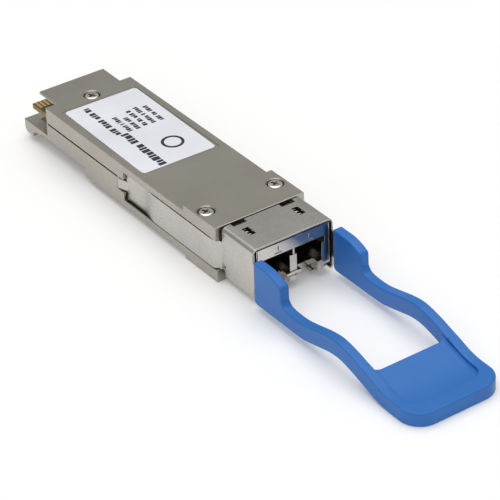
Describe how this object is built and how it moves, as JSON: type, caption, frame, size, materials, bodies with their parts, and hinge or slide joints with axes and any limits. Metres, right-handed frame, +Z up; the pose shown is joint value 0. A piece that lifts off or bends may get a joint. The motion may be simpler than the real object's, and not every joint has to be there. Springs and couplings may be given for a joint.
{
  "type": "optical transceiver module",
  "caption": "Pluggable optical transceiver module: metal housing with a duplex LC port, circuit card edge, screws, label, and a spring-returned latch slider pulled by a plastic tab.",
  "frame": {"origin": "middle of the underside: half way between the pull tab's front edge and the housing's rear edge, on the surface the module lies on", "axes": "+Y towards the card edge, +Z up through the labelled side, +X to the right when looking along +Y"},
  "size_m": [0.0184, 0.115, 0.0107],
  "materials": {
    "zinc": "satin nickel over zinc die casting",
    "sheet": "satin nickel sheet",
    "bright": "bright nickel",
    "blue": "fine moulded texture",
    "label": "satin film",
    "laminate": "solder mask",
    "gold_box": "gold plated",
    "steel": "turned stainless",
    "ceramic": "polished ceramic",
    "amber": "polyimide film",
    "epoxy": "moulded epoxy",
    "gap_pad": "soft pad",
    "gasket": "silver-filled elastomer",
    "clip": "moulded",
    "spring": "drawn wire"
  },
  "bodies": {
    "module": {"bottom_shell": "zinc", "top_shell": "zinc", "port_block": "zinc", "return_spring_left": "spring", "return_spring_right": "spring", "screw_front_left": "bright", "screw_front_right": "bright", "screw_rear": "bright", "label": "label", "paddle_card": "laminate", "transmitter_package": "gold_box", "receiver_package": "gold_box", "transmitter_barrel": "steel", "receiver_barrel": "steel", "transmitter_sleeve": "ceramic", "receiver_sleeve": "ceramic", "transmitter_stub": "ceramic", "receiver_stub": "ceramic", "transmitter_flex": "amber", "receiver_flex": "amber", "barrel_clamp": "clip", "laser_driver": "epoxy", "receiver_amplifier": "epoxy", "microcontroller": "epoxy", "driver_thermal_pad": "gap_pad", "transmitter_thermal_pad": "gap_pad", "receiver_thermal_pad": "gap_pad", "seam_gasket_left": "gasket", "seam_gasket_right": "gasket"},
    "latch": {"latch_slider": "sheet", "pull_tab": "blue"}
  },
  "joints": [
    {"name": "latch_slide", "type": "slide", "parent": "module", "child": "latch", "axis": [0, -1, 0], "range_m": [0, 0.002], "stiffness_N_per_m": 1200, "springref_m": -0.001, "deforming": ["return_spring_left", "return_spring_right"]}
  ]
}
